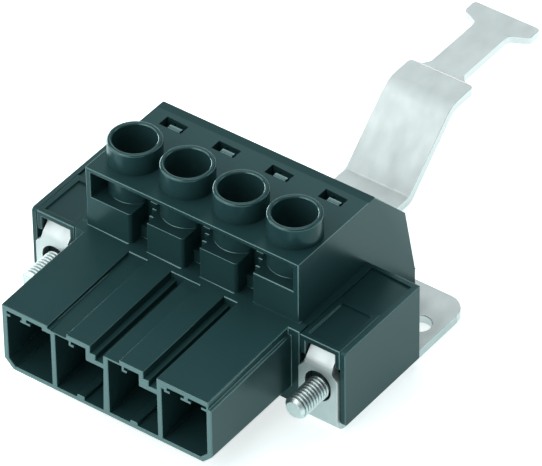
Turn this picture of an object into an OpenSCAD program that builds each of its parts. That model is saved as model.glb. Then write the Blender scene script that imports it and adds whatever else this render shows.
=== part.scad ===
// Four-pole plug-in power connector with screw clamps, two screw flanges and a
// folded shield plate whose arm runs out behind the wire entries.
// X runs along the poles, +Y points to the wires, +Z is up. The origin lies on the
// underside of the shield plate, below the middle of the row of clamp screws.

/* [Poles] */
// Distance between neighbouring poles
pole_pitch = 7.62; // [7.2:0.01:9]

/* [Terminal block] */
// Height of the deck above the underside of the mouldings
block_h = 19.9; // [17.8:0.1:23]
// Front face of the clamp blocks, ahead of the clamp screw axes
block_front = 4.66; // [4.3:0.01:5.2]
// Joint between housing and wire hood, behind the clamp screw axes
hood_joint = 9.1; // [8.8:0.05:10.5]
// Side wall of the block beside the front gallery
block_wall = 0.8; // [0.6:0.05:1.4]
// Thickness of the deck above the gallery
deck_t = 0.6; // [0.5:0.05:1]
// Ledge under the gallery, below the deck
ledge_drop = 4.2; // [3.6:0.05:4.6]
// Depth of the gallery behind the clamp screw axes
gallery_back = 1.8; // [0.5:0.1:3]
// Width of the slots between the clamp blocks
slot_w = 2.3; // [1.6:0.05:2.8]
// Depth of those slots above the clamp chambers
slot_deep = 3.4; // [2.2:0.1:4.4]
// Depth of those slots beside the clamp chambers
slot_shallow = 1.9; // [1.2:0.05:1.95]
// Floor of those slots above the clamp chambers
slot_floor = 0.9; // [0.6:0.05:1.5]
// Rounding of the clamp blocks' right front edges
slot_r = 0.5; // [0.2:0.05:0.8]
// Width of the two stairs that narrow each slot from its right side
stair_w = 0.53; // [0.3:0.01:0.7]
// First stair behind the front face of the clamp blocks, and the way on to the second
stair_l = 1.25; // [1:0.05:1.6]

/* [Screwdriver chimneys] */
// Outer diameter of a chimney
chimney_d = 6.62; // [6.3:0.02:7]
// Bore of a chimney
chimney_bore = 5.3; // [5.1:0.05:5.7]
// Height of a chimney above the deck
chimney_h = 3; // [1.5:0.1:5]
// Rounding of the chimney rim
rim_r = 0.28; // [0.1:0.02:0.32]

/* [Deck windows] */
// Width of a window
window_w = 3.2; // [2.4:0.1:4.4]
// Length of a window
window_l = 1.6; // [1:0.1:2]
// Depth of a window
window_deep = 1.6; // [1.4:0.05:1.8]
// Deck left between the windows and the wire hood
window_bar = 0.9; // [0.5:0.05:1.4]
// Width of the hood's snap tongue in a window
latch_w = 1.7; // [1:0.1:2]
// Offset of the snap tongues from the pole axes
latch_off = 0.45; // [0:0.05:0.5]
// Length of the snap tongue's nose
latch_nose = 1; // [0.8:0.05:1.3]

/* [Socket row] */
// Front face of the sockets, ahead of the clamp screw axes
row_front = 21.2; // [18:0.1:26]
// Gap between the row and the underside of the mouldings
row_lift = 1.3; // [0.8:0.05:2]
// Height of the row at its front face
row_h = 9.35; // [9:0.05:10]
// Fall of the row's top from the clamp blocks to its front face
row_fall = 0.6; // [0.2:0.05:1]
// How much narrower the row is than the block, on each side
row_inset = 0.24; // [0.1:0.02:0.5]
// Thickness of the socket walls
row_wall = 0.7; // [0.5:0.05:1]
// Thickness of the socket floor
row_floor = 0.6; // [0.5:0.05:1]
// Chamfer along the lower outer edges
row_chamfer = 1.3; // [0.6:0.05:1.8]
// Rounding along the upper outer edges
row_r = 0.3; // [0.1:0.05:0.5]
// Solid depth between the sockets and the front of the body
socket_back = 1.6; // [1:0.1:3]
// End of the keying grooves, ahead of the clamp blocks
groove_stop = 1.1; // [1:0.05:3]
// Depth of the narrow keying grooves
groove_deep = 1.75; // [1.2:0.05:2]
// Width of a narrow keying groove
groove_w = 1.85; // [1.4:0.05:2.2]
// Width and height of the step beside a narrow groove
groove_step = 0.75; // [0.4:0.05:0.9]
// Depth of the wide keying grooves
groove_flat = 0.45; // [0.2:0.05:0.6]
// Width of a wide keying groove
flat_w = 2.7; // [2:0.05:3.4]
// Width of the rebate along the row's right edge
rebate_w = 0.4; // [0.2:0.05:0.6]
// Depth of that rebate
rebate_deep = 1; // [0.4:0.05:1.4]
// Length of the keying ribs in the sockets
rib_l = 6.5; // [2:0.1:8]
// Height of the ribs' necks under the socket roof
rib_neck = 0.4; // [0.2:0.05:0.5]
// Height of the ribs under the socket roof
rib_h = 0.75; // [0.6:0.05:1]
// Width of the keys on the socket floors
key_w = 1.1; // [0.8:0.05:1.6]
// Height of those keys
key_h = 0.45; // [0.3:0.05:0.6]

/* [Flanges] */
// Width of a flange beside the block
flange_w = 7.34; // [7.1:0.02:9]
// Front of the flange walls, ahead of the clamp screw axes
flange_front = 5.85; // [5.4:0.05:6]
// Height of the flanges
flange_h = 11.05; // [10.8:0.05:13]
// Thickness of the flange walls
flange_wall = 0.68; // [0.5:0.02:0.9]
// Thickness of the wall between the block and a flange's tray
flange_post = 0.96; // [0.6:0.02:1.3]
// Thickness of the flange floor
flange_floor = 0.8; // [0.6:0.05:1.2]
// Rounding of the front corners of the flange walls
flange_r = 0.5; // [0.3:0.05:1.4]
// Length of a flange insert behind the front face of its frame
insert_l = 7.95; // [6.3:0.05:9]
// Height of the bar over the shield tab
insert_bar = 0.8; // [0.6:0.05:1.1]
// Width of the posts beside the shield tab
insert_post = 0.75; // [0.6:0.05:0.9]
// Depth of the square recess on top of an insert, and of the step down to its roof
insert_recess = 0.25; // [0.1:0.05:0.5]
// Thickness of the insert's roof over the screw head
insert_roof = 1.2; // [0.8:0.05:1.6]
// Width of the rim around that recess
recess_rim = 0.75; // [0.5:0.05:1.2]
// Depth of the insert's window behind the shield tab
tongue_room = 1.8; // [1.6:0.05:2.4]
// Height of the window's wide part above the tab's shoulders
frame_rise = 1.2; // [0.8:0.05:1.6]
// Depth of the window below the tab's shoulders
frame_sink = 0.8; // [0.4:0.05:1]
// Hole in the back wall for the screwdriver
driver_d = 4.6; // [4:0.1:5.6]

/* [Flange screws] */
// Height of the flange screws above the underside of the plate
screw_z = 5.8; // [5.6:0.05:6.3]
// Thread diameter of the flange screws
screw_d = 3; // [2.5:0.1:3.2]
// Neck of the captive screw behind its thread
screw_neck_d = 2.3; // [2:0.05:2.4]
// Tip of the flange screws, ahead of the clamp screw axes
screw_tip = 11; // [9.5:0.1:14]
// Chamfer of the screw tips, on the clamp screws too
screw_chamfer = 0.4; // [0.2:0.05:0.6]
// Head height of the flange screws
screw_head_h = 2; // [1.6:0.1:2.6]
// Width of the slot in each screw head
driver_slot_w = 0.8; // [0.6:0.05:1]
// Depth of that slot
driver_slot_deep = 0.9; // [0.6:0.05:1.2]

/* [Shield plate] */
// Thickness of the folded sheet
sheet_t = 1.2; // [0.8:0.05:1.4]
// Inside radius of the folds
fold_r = 0.5; // [0.3:0.05:0.8]
// Half the width of the plate
plate_half = 21.8; // [20:0.05:23]
// Back edge of the plate, behind the clamp screw axes
plate_back = 20.3; // [19.5:0.1:24]
// Rounding of the plate's back corners
plate_r = 2.6; // [1:0.1:3]
// Fixing holes in the plate
plate_hole_d = 2.9; // [2.2:0.1:3.4]
// Fixing holes, in from the plate's sides
plate_hole_inset = 2.75; // [2.5:0.05:4]
// Fixing holes, behind the clamp screw axes
plate_hole_y = 14.05; // [12:0.05:17]
// Front face of the folded tabs, ahead of the clamp screw axes
tab_front = 6.3; // [6.25:0.05:6.6]
// Height of the wide part of a tab above the underside of the plate
tab_shoulder = 8.3; // [8:0.05:8.6]
// Fall of the tab's shoulders from the tongue to the sides
tab_fall = 0.6; // [0.5:0.05:0.9]
// Rounding of the tab's shoulders
tab_r = 0.75; // [0.3:0.05:0.8]
// Rounding of the tongue's end
tongue_r = 0.4; // [0.2:0.05:0.6]
// Inside radius of the tongue's fold
tongue_bend = 0.9; // [0.5:0.05:1.2]
// Fold of the tongue, above the tab's shoulders
tongue_foot = 0.6; // [0.4:0.05:1]
// End of the tongue, below the insert's bar
tongue_drop = 1; // [0.7:0.05:1.3]
// Angle by which the tongue leans back
tongue_lean = 42; // [25:1:44]
// Width of the screw hole in a tab
tab_hole_d = 3.6; // [3.4:0.05:4]
// How much higher than wide that hole is
tab_float = 0.6; // [0.2:0.05:0.8]

/* [Shield arm] */
// Width of the arm
arm_w = 9.4; // [7:0.1:12]
// Lower fold of the arm, behind the clamp screw axes
arm_fold = 32.45; // [26:0.05:40]
// Height that the arm climbs
arm_rise = 8.24; // [4:0.02:12]
// Inside radius of the arm's upper fold
crest_r = 3; // [0.8:0.1:4]
// Slope of the arm
arm_slope = 43; // [30:1:60]
// Length of the wide flat behind the upper fold
arm_flat = 4.3; // [3.5:0.1:8]
// Length of the neck
neck_l = 10.8; // [6:0.1:16]
// Width of the neck
neck_w = 4.85; // [3:0.05:6.5]
// Depth to which the neck's upper face is coined
neck_coin = 0.12; // [0.05:0.01:0.25]
// Length over which the arm narrows to the neck
neck_taper = 1.4; // [1:0.1:2]
// Step beside the neck where that taper starts
neck_step = 0.6; // [0.3:0.05:0.9]
// Width of the head
head_w = 9.8; // [8:0.1:12]
// Length of the head at its ends
head_l = 2.2; // [1.5:0.1:4]
// Length over which the head flares out of the neck
head_flare = 1.2; // [0.6:0.1:2]
// Rounding of the arm's corners
arm_r = 0.5; // [0.2:0.05:0.9]

/* [Contacts and clamps] */
// Width of a contact bar
bar_w = 3.6; // [3:0.05:3.8]
// Thickness of a contact bar
bar_t = 1.2; // [0.8:0.05:1.4]
// Underside of the contact bars, above the underside of the mouldings
bar_z = 6.2; // [5.9:0.05:6.4]
// Tip of the contact blades, behind the front face of the sockets
blade_set_back = 5.7; // [4.6:0.1:8]
// Length of the contact bars held in the wire hood
bar_tail = 0.75; // [0.5:0.05:1.5]
// Width of a clamping yoke
yoke_w = 5.6; // [5.4:0.05:5.7]
// Length of a clamping yoke along the wire
yoke_l = 4; // [3.4:0.05:4.2]
// Thickness of the yoke's sides
yoke_side = 0.7; // [0.5:0.05:0.75]
// Thickness of the yoke's floor
yoke_floor = 1; // [0.8:0.05:1.2]
// Height of the yoke's threaded top
yoke_top = 1.9; // [1.6:0.05:2.1]
// Clear height for the wire when the clamp is open
wire_h = 4.2; // [4.1:0.05:4.4]
// Lift of the yoke from open to shut
clamp_lift = 2.6; // [1.5:0.05:2.7]
// Thread diameter of the clamp screws
clamp_d = 3; // [2.5:0.1:3]
// Head height of the clamp screws
clamp_head_h = 1.8; // [1.4:0.1:2.4]

/* [Wire hood] */
// Length of the flat strip on top of the hood
hood_strip = 1.3; // [0.8:0.05:2]
// Step from the deck down to that strip
hood_step = 0.1; // [0.05:0.01:0.4]
// Length of the sloping roof
slope_run = 6; // [4:0.1:8]
// Drop of the sloping roof
slope_drop = 6.4; // [3:0.1:7]
// How far the back leans out towards the bottom
back_lean = 2.2; // [1:0.1:3.4]
// Height of the upright foot of the hood's back
foot_h = 3.4; // [2:0.1:4.5]
// Wall thickness of the hood
hood_wall = 1.2; // [0.9:0.05:1.6]
// Rounding of the hood's knees
hood_r = 0.8; // [0.3:0.05:1.5]
// Width of a wire channel
wire_w = 4.5; // [4.3:0.05:4.6]
// Mouth diameter of a wire funnel
funnel_d = 6.7; // [6:0.05:7]
// Depth of a wire funnel
funnel_l = 3; // [1:0.1:4]

/* [Clearances] */
// Seam between mouldings
seam = 0.1; // [0.05:0.01:0.15]
// Running clearance around a screw
running = 0.05; // [0.03:0.01:0.1]
// Clearance around the sliding yokes and the contact bars
sliding = 0.1; // [0.05:0.01:0.15]
// Gap around the screw heads
head_gap = 0.25; // [0.15:0.01:0.4]
// Gap beside the shield tabs in their trays
tab_gap = 0.1; // [0.05:0.01:0.2]
// Gap beside the tongues in the inserts
tongue_gap = 0.12; // [0.05:0.01:0.2]

/* [Hidden] */
$fn = 48;
pole_count = 4;
// Overshoot of every cut past the face that it opens
cut = 0.5;
plastic = [0.12, 0.19, 0.20];
insert_plastic = [0.10, 0.16, 0.17];
steel = [0.76, 0.80, 0.81];
tin = [0.80, 0.78, 0.72];

block_half = pole_count * pole_pitch / 2;
base_z = sheet_t;
deck_z = base_z + block_h;
ledge_z = deck_z - ledge_drop;
rim_z = deck_z + chimney_h;
flange_z = base_z + flange_h;
flange_half = block_half + flange_w;
flange_back = hood_joint - seam / 2;
window_y = hood_joint - window_bar - window_l;
row_half = block_half - row_inset;
row_z = base_z + row_lift;
row_top = row_z + row_h;
shelf_z = row_top + row_fall;
groove_end = block_front + groove_stop;
// The contact bar, the yoke around it and the chamber that the yoke lifts in
bar_under = base_z + bar_z;
bar_top = bar_under + bar_t;
yoke_seat = bar_under - wire_h;
yoke_under = yoke_seat - yoke_floor;
yoke_shoulder = bar_top + running;
yoke_crown = yoke_shoulder + yoke_top;
chamber_half = yoke_w / 2 + 1.5 * sliding;
chamber_front = yoke_l / 2 + 1.5 * sliding;
chamber_floor = yoke_under - sliding;
chamber_roof = yoke_crown + clamp_lift + 1.5 * sliding;
contact_back = chamber_front + bar_tail;
blade_tip = blade_set_back - row_front;
wire_z = (yoke_seat + bar_under) / 2;
clamp_head_d = chimney_bore - 2 * head_gap;
// The tray in each flange, and the insert that sits in it
tray_inner = block_half + flange_post;
tray_outer = flange_half - flange_wall;
tray_w = tray_outer - tray_inner;
screw_x = (tray_inner + tray_outer) / 2;
screw_head_d = tray_w - 2 * head_gap;
tray_back = flange_back - flange_wall;
tray_floor = base_z + flange_floor;
insert_back = insert_l - flange_front;
insert_front = tab_front - sheet_t - seam / 2;
// The tab fills its tray, and its tongue the window of the insert
tab_w = tray_w - 2 * tab_gap;
tongue_w = tray_w - seam - 2 * (insert_post + tongue_gap);
tongue_top = flange_z - insert_bar - tongue_drop;

function pole_x(k) = (k - (pole_count + 1) / 2) * pole_pitch;
function side_x(side) = side * screw_x;
// Height of the row's top, which falls evenly from the clamp blocks to the front face
function row_top_at(y) = shelf_z + row_fall * (y + block_front) / (row_front - block_front);
function ahead(a, b) = (b - a) / norm(b - a);
function leftward(d) = [-d.y, d.x];
// Half turn, and half the angle of a corner that counts as straight
half_turn = 180;
nearly_straight = 89.5;
// Arc of radius r that rounds the corner b of the line a, b, c
function arc(a, b, c, r, steps = 5) =
    let (u = ahead(b, a), w = ahead(b, c), half = acos(u * w) / 2)
    r <= 0 || half > nearly_straight ? [b] :
    let (centre = b + (u + w) / norm(u + w) * r / sin(half),
         start = b + u * r / tan(half) - centre,
         end = b + w * r / tan(half) - centre,
         from = atan2(start.y, start.x),
         turn = (atan2(end.y, end.x) - from + 3 * half_turn) % (2 * half_turn) - half_turn)
    [for (i = [0:steps]) centre + r * [cos(from + turn * i / steps), sin(from + turn * i / steps)]];
// Closed outline whose corners [x, y, r] are rounded to their own radius
function rounded(corners) =
    let (n = len(corners), flat = [for (c = corners) [c.x, c.y]])
    [for (i = [0:n - 1]) each arc(flat[(i + n - 1) % n], flat[i], flat[(i + 1) % n], corners[i].z)];
function turns_left(a, b, c) = cross(ahead(a, b), ahead(b, c)) > 0;
// Line moved sideways by d, with mitred corners
function beside(line, d) =
    [for (i = [0:len(line) - 1])
        let (u = ahead(line[max(i, 1) - 1], line[max(i, 1)]),
             j = min(i, len(line) - 2),
             w = ahead(line[j], line[j + 1]),
             n = leftward(u) + leftward(w))
        line[i] + d * n / (1 + leftward(u) * leftward(w))];
// One side of a folded sheet: the folds have their own radius inside, and that and t outside
function fold_side(line, t, radii, side) =
    let (edge = beside(line, side * t / 2), last = len(line) - 1)
    [for (i = [0:last]) each
        i == 0 || i == last ? [edge[i]] :
        arc(edge[i - 1], edge[i], edge[i + 1],
            turns_left(line[i - 1], line[i], line[i + 1]) == (side > 0) ? radii[i - 1] : radii[i - 1] + t)];
function reversed(list) = [for (i = [len(list) - 1:-1:0]) list[i]];
// Section of a sheet of thickness t folded along a line
function folded(line, t, radii) = concat(fold_side(line, t, radii, 1), reversed(fold_side(line, t, radii, -1)));

// Block between two corners
module span(low, high) {
    translate(low) cube(high - low);
}

// Solid of a Y, Z section between two places along X
module along_x(x0, x1, section) {
    translate([x0, 0, 0]) rotate([90, 0, 90]) linear_extrude(x1 - x0) polygon(section);
}

// Solid of an X, Z section between two places along Y
module along_y(y0, y1, section) {
    translate([0, y1, 0]) rotate([90, 0, 0]) linear_extrude(y1 - y0) polygon(section);
}

// Round bar along Y
module rod_y(x, z, y0, y1, r0, r1) {
    translate([x, y0, z]) rotate([-90, 0, 0]) cylinder(h = y1 - y0, r1 = r0, r2 = r1);
}

// Body behind the sockets and between the flanges
module block_solid() {
    span([-block_half, -block_front, base_z], [block_half, hood_joint, deck_z]);
    along_x(-tray_inner, tray_inner, [[-flange_front, base_z], [-block_front + cut, base_z],
        [-block_front + cut, shelf_z], [-block_front, shelf_z], [-flange_front, row_top_at(-flange_front)]]);
}

// Tubes that guide the screwdriver, from the ledge up through the deck
module chimney(k) {
    translate([pole_x(k), 0, 0]) rotate_extrude()
        polygon(concat([[0, ledge_z - cut], [chimney_d / 2, ledge_z - cut]],
            arc([chimney_d / 2, ledge_z], [chimney_d / 2, rim_z], [0, rim_z], rim_r),
            [[0, rim_z]]));
}

module chimney_bore(k) {
    rim = chimney_bore / 2 + rim_r;
    translate([pole_x(k), 0, 0]) rotate_extrude()
        polygon(concat([[0, ledge_z], [chimney_bore / 2, ledge_z], [chimney_bore / 2, rim_z - rim_r]],
            [for (i = [1:4]) [rim - rim_r * cos(22.5 * i), rim_z - rim_r + rim_r * sin(22.5 * i)]],
            [[rim, rim_z + cut], [0, rim_z + cut]]));
    translate([pole_x(k), 0, chamber_roof - cut])
        cylinder(h = ledge_z - chamber_roof + 2 * cut, r = clamp_d / 2 + 2 * running);
}

// Open gallery under the deck, with the slots between the clamp blocks
module gallery_cut() {
    inside = block_half - block_wall;
    difference() {
        span([-inside, -block_front - cut, ledge_z], [inside, gallery_back, deck_z - deck_t]);
        for (k = [1:pole_count]) chimney(k);
    }
    for (k = [1:pole_count - 1]) {
        slot_cut(k, slot_shallow, shelf_z);
        slot_cut(k, slot_deep, chamber_roof + slot_floor);
    }
}

// Slot on the right of clamp block k, of one depth, from a floor up to the gallery
module slot_cut(k, depth, floor_z) {
    left = -slot_w / 2;
    front = -block_front;
    translate([pole_x(k) + pole_pitch / 2, 0, floor_z]) linear_extrude(ledge_z + cut - floor_z)
        polygon(concat([[slot_w / 2, front - cut], [slot_w / 2, front + depth], [left, front + depth]],
            arc([left, front + depth], [left, front], [left - slot_w, front], slot_r),
            [[left - slot_r, front - cut]]));
}

// Two stairs on the right of each slot, above the clamp chambers
module slot_stairs() {
    for (k = [1:pole_count - 1], i = [1, 2]) {
        right = pole_x(k) + pole_pitch / 2 + slot_w / 2;
        span([right - i * stair_w, i * stair_l - block_front, chamber_roof + slot_floor / 2],
            [right + stair_w, slot_deep + slot_floor - block_front, ledge_z]);
    }
}

// Window in the deck, and the slot behind it that the hood's snap tongue enters by
module deck_window(k) {
    x = pole_x(k);
    half = latch_w / 2 + sliding;
    span([x - window_w / 2, window_y, deck_z - window_deep],
        [x + window_w / 2, window_y + window_l, deck_z + cut]);
    span([x + latch_off - half, window_y, deck_z - window_deep],
        [x + latch_off + half, hood_joint + cut, deck_z - deck_t]);
}

// Outside of the socket row
module row_solid() {
    intersection() {
        along_x(-row_half, row_half, [[-row_front, row_z], [-flange_front + cut, row_z],
            [-flange_front + cut, row_top_at(-flange_front + cut)], [-row_front, row_top]]);
        along_y(-row_front, -flange_front + cut, rounded([
            [-row_half, row_z, 0], [row_half, row_z, 0], [row_half, shelf_z, row_r], [-row_half, shelf_z, 2 * row_r]]));
    }
}

// Sides of socket k
function socket_left(k) = k == 1 ? -row_half + row_wall : pole_x(k) - pole_pitch / 2 + row_wall / 2;
function socket_right(k) = k == pole_count ? row_half - row_wall : pole_x(k) + pole_pitch / 2 - row_wall / 2;
// The inner poles carry a narrow groove on their right
function has_groove(k) = k > 1 && k < pole_count;

// Inside of socket k, lower under its groove and chamfered beside the outer edges
module socket_cut(k) {
    left = socket_left(k);
    right = socket_right(k);
    floor_z = row_z + row_floor;
    roof_z = row_top - row_wall;
    low_z = row_top - groove_deep - row_wall;
    step_x = has_groove(k) ? pole_x(k) + pole_pitch / 2 - row_wall / 2 - groove_w - row_wall : right;
    bevel = row_chamfer - row_floor / 2;
    along_y(-row_front - cut, -flange_front - socket_back, [
        each k == 1 ? [[left, floor_z + bevel], [left + bevel, floor_z]] : [[left, floor_z]],
        each k == pole_count ? [[right - bevel, floor_z], [right, floor_z + bevel]] : [[right, floor_z]],
        each has_groove(k) ? [[right, low_z], [step_x, low_z], [step_x, roof_z]] : [[right, roof_z]],
        [left, roof_z]]);
}

// Groove of an even depth in the row's sloping top
module top_groove(x0, x1, y1, depth) {
    y0 = -row_front - cut;
    along_x(x0, x1, [[y0, row_top_at(y0) - depth], [y1, row_top_at(y1) - depth], [y1, shelf_z + cut], [y0, shelf_z + cut]]);
}

// Keying grooves on top of the row, and the rebate along its right edge
module row_grooves() {
    for (k = [1:pole_count - 1]) {
        edge = pole_x(k) + pole_pitch / 2;
        if (has_groove(k)) {
            right = edge - row_wall / 2;
            top_groove(right - groove_w, right, -groove_end, groove_deep - groove_step);
            top_groove(right - groove_w + groove_step, right, -groove_end, groove_deep);
        }
        if (k < pole_count - 1)
            top_groove(edge - row_wall, edge - row_wall + flat_w, -groove_end, groove_flat);
    }
    top_groove(row_half - rebate_w, row_half + cut, -flange_front, rebate_deep);
}

// Bevels along the lower edges of the row
module row_bevels() {
    for (side = [-1, 1])
        along_y(-row_front - cut, -flange_front, [
            [side * (row_half - row_chamfer), row_z], [side * (row_half + cut), row_z + row_chamfer + cut],
            [side * (row_half + cut), row_z - cut], [side * (row_half - row_chamfer), row_z - cut]]);
}

// Keying ribs: [pole, left and right side in pole pitches, upper and lower level under the socket roof]
socket_ribs = [
    [1, -0.09, 0, 0, 1], [1, -0.12, 0.07, 1, 2], [1, -0.42, -0.31, 1, 2], [1, 0.29, 0.47, 0, 1],
    [2, -0.2, -0.15, 0, 2], [2, -0.2, -0.1, 1, 2],
    [3, -0.2, -0.15, 0, 2], [3, -0.2, -0.1, 1, 2],
    [4, -0.47, -0.35, 0, 1], [4, -0.41, -0.3, 1, 2], [4, -0.04, 0.04, 0, 1], [4, -0.1, 0.09, 1, 2],
    [4, 0.28, 0.4, 1, 2]];
// Levels of the ribs: sunk in the roof, under their necks, and under their feet
rib_levels = [-row_wall / 2, rib_neck, rib_h];

module socket_keys() {
    roof_z = row_top - row_wall;
    for (r = socket_ribs)
        span([pole_x(r[0]) + r[1] * pole_pitch, -row_front, roof_z - rib_levels[r[4]]],
            [pole_x(r[0]) + r[2] * pole_pitch, rib_l - row_front, roof_z - rib_levels[r[3]]]);
    for (k = [2:pole_count - 1])
        translate([pole_x(k) - key_w / 2, -row_front, row_z + row_floor / 2]) cube([key_w, rib_l, key_h + row_floor / 2]);
}

// Flange tray: outer wall with rounded front corners, back wall, floor and inner post
module flange_tray(side) {
    outer = rounded([[-flange_front, base_z, flange_r], [flange_back, base_z, 0],
        [flange_back, flange_z, 0], [-flange_front, flange_z, flange_r]]);
    x = side > 0 ? tray_outer : -flange_half;
    along_x(x, x + flange_wall, outer);
    inner = side > 0 ? block_half - cut : -tray_inner;
    span([inner, -flange_front, base_z], [inner + tray_inner - block_half + cut, flange_back, flange_z]);
    across = side > 0 ? block_half : -tray_outer - cut;
    across_w = tray_outer - block_half + cut;
    difference() {
        span([across, tray_back, base_z], [across + across_w, flange_back, flange_z]);
        rod_y(side_x(side), screw_z, tray_back - cut, flange_back + cut, driver_d / 2, driver_d / 2);
    }
    span([across, fold_r + seam - insert_front, base_z], [across + across_w, flange_back, tray_floor]);
}

// Chamber of pole k, open to the hood, and the slot that its contact bar passes
module clamp_chamber(k) {
    x = pole_x(k);
    span([x - chamber_half, -chamber_front, chamber_floor], [x + chamber_half, hood_joint + cut, chamber_roof]);
    span([x - bar_w / 2 - sliding / 2, blade_tip - sliding, bar_under - sliding / 2],
        [x + bar_w / 2 + sliding / 2, 0, bar_top + sliding / 2]);
}

module housing() {
    color(plastic) {
        difference() {
            union() {
                block_solid();
                row_solid();
                flange_tray(-1);
                flange_tray(1);
                for (k = [1:pole_count]) chimney(k);
            }
            gallery_cut();
            row_grooves();
            row_bevels();
            for (k = [1:pole_count]) {
                chimney_bore(k);
                deck_window(k);
                socket_cut(k);
                clamp_chamber(k);
            }
        }
        slot_stairs();
        socket_keys();
    }
}

// Line of the hood's outside in Y, Z: flat strip, sloping roof, leaning back and upright foot
hood_top = deck_z - hood_step;
hood_knee = [hood_joint + hood_strip + slope_run, hood_top - slope_drop];
hood_back = hood_knee.x + back_lean;
hood_line = [[hood_joint, hood_top], [hood_joint + hood_strip, hood_top], hood_knee,
    [hood_back, base_z + foot_h], [hood_back, base_z]];
hood_radii = [0, 0, hood_r, hood_r, 0];

module hood_shell() {
    along_x(-block_half, block_half, rounded([
        for (i = [0:len(hood_line) - 1]) [hood_line[i].x, hood_line[i].y, hood_radii[i]], [hood_joint, base_z, 0]]));
}

// Snap tongue k: an arm under the deck with a rounded nose in the window
module hood_latch(k) {
    x = pole_x(k) + latch_off;
    arm_top = deck_z - deck_t - sliding;
    arm_under = deck_z - window_deep + 2 * sliding;
    nose = window_y + sliding / 2;
    along_x(x - latch_w / 2, x + latch_w / 2, rounded([
        [hood_joint + hood_wall / 2, arm_under, 0], [hood_joint + hood_wall / 2, arm_top, 0],
        [nose + latch_nose, arm_top, sliding], [nose + 0.8 * latch_nose, deck_z, latch_nose / 3],
        [nose, deck_z, 1.5 * sliding], [nose, arm_under, latch_nose / 3]]));
}

// Hollow above wire channel k, open towards the housing
module hood_hollow(k) {
    half = pole_pitch / 2 - hood_wall / 2;
    intersection() {
        along_x(pole_x(k) - half, pole_x(k) + half, [each beside(hood_line, -hood_wall), [hood_joint, base_z]]);
        span([-block_half, hood_joint - cut, chamber_roof], [block_half, plate_back, deck_z]);
    }
}

// Sleeve that reaches into chamber k, holds the bar's end and leads the wire to the yoke
module wire_sleeve(k) {
    x = pole_x(k);
    difference() {
        span([x - chamber_half + seam / 2, chamber_front, chamber_floor + seam / 2],
            [x + chamber_half - seam / 2, hood_joint + cut, chamber_roof - seam / 2]);
        span([x - bar_w / 2 - sliding / 2, chamber_front - cut, bar_under - sliding / 2],
            [x + bar_w / 2 + sliding / 2, contact_back + sliding / 2, bar_top + sliding / 2]);
    }
}

module wire_channel(k) {
    x = pole_x(k);
    span([x - wire_w / 2, chamber_front - cut, yoke_seat], [x + wire_w / 2, hood_back + cut, bar_under]);
    rod_y(x, wire_z, hood_back - funnel_l, hood_back + cut,
        wire_h / 2, funnel_d / 2 + cut * (funnel_d - wire_h) / (2 * funnel_l));
}

module wire_hood() {
    color(plastic) difference() {
        union() {
            difference() {
                hood_shell();
                for (k = [1:pole_count]) hood_hollow(k);
            }
            for (k = [1:pole_count]) {
                wire_sleeve(k);
                hood_latch(k);
            }
        }
        for (k = [1:pole_count]) wire_channel(k);
    }
}

// Line of the folded tab in Y, Z, through the middle of the sheet
tab_y = -tab_front + sheet_t / 2;
tab_line = [[0, sheet_t / 2], [tab_y, sheet_t / 2], [tab_y, tab_shoulder + tongue_foot],
    [tab_y + (tongue_top - tab_shoulder - tongue_foot) * tan(tongue_lean), tongue_top]];
// Front view of a tab: wide foot, rounded shoulders and a narrower tongue
function tab_front_view() =
    let (w = tab_w / 2, n = tongue_w / 2)
    let (low = tab_shoulder - tab_fall / 2, high = tab_shoulder + tab_fall / 2)
    rounded([[-w, -cut, 0], [w, -cut, 0], [w, low, tab_r], [n, high, tab_r],
        [n, tongue_top + sheet_t, tongue_r], [-n, tongue_top + sheet_t, tongue_r], [-n, high, tab_r], [-w, low, tab_r]]);

module shield_tab(side) {
    x = side_x(side);
    difference() {
        intersection() {
            along_x(x - tab_w / 2, x + tab_w / 2, folded(tab_line, sheet_t, [fold_r, tongue_bend]));
            translate([x, 0, 0]) along_y(-tab_front - cut, cut, tab_front_view());
        }
        for (z = [screw_z, screw_z + tab_float])
            rod_y(x, z, -tab_front - cut, -insert_front + cut, tab_hole_d / 2, tab_hole_d / 2);
        span([x - tab_hole_d / 2, -tab_front - cut, screw_z], [x + tab_hole_d / 2, -insert_front + cut, screw_z + tab_float]);
    }
}

// Line of the arm in Y, Z, and the places where its plan changes
arm_crest = arm_fold + arm_rise / tan(arm_slope);
neck_start = arm_crest + arm_flat;
neck_end = neck_start + neck_l;
arm_end = neck_end + head_flare + head_l;
arm_line = [[0, sheet_t / 2], [arm_fold, sheet_t / 2], [arm_crest, sheet_t / 2 + arm_rise],
    [arm_end, sheet_t / 2 + arm_rise]];

function arm_plan() =
    let (a = arm_w / 2, n = neck_w / 2, h = head_w / 2)
    rounded([[-a, 0, 0], [a, 0, 0], [a, neck_start, arm_r], [n + neck_step, neck_start + neck_taper / 3, arm_r],
        [n, neck_start + neck_taper, arm_r], [n, neck_end, 2 * arm_r], [h, neck_end + head_flare, arm_r],
        [h, arm_end, arm_r], [-h, arm_end, arm_r], [-h, neck_end + head_flare, arm_r], [-n, neck_end, 2 * arm_r],
        [-n, neck_start + neck_taper, arm_r], [-n - neck_step, neck_start + neck_taper / 3, arm_r],
        [-a, neck_start, arm_r]]);

module shield_arm() {
    widest = max(arm_w, head_w) / 2;
    difference() {
        intersection() {
            along_x(-widest, widest, folded(arm_line, sheet_t, [fold_r, crest_r]));
            linear_extrude(arm_rise + 2 * sheet_t) polygon(arm_plan());
        }
        span([-widest - cut, neck_start + neck_coin, sheet_t + arm_rise - neck_coin],
            [widest + cut, arm_end + cut, sheet_t + arm_rise + cut]);
    }
}

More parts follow.
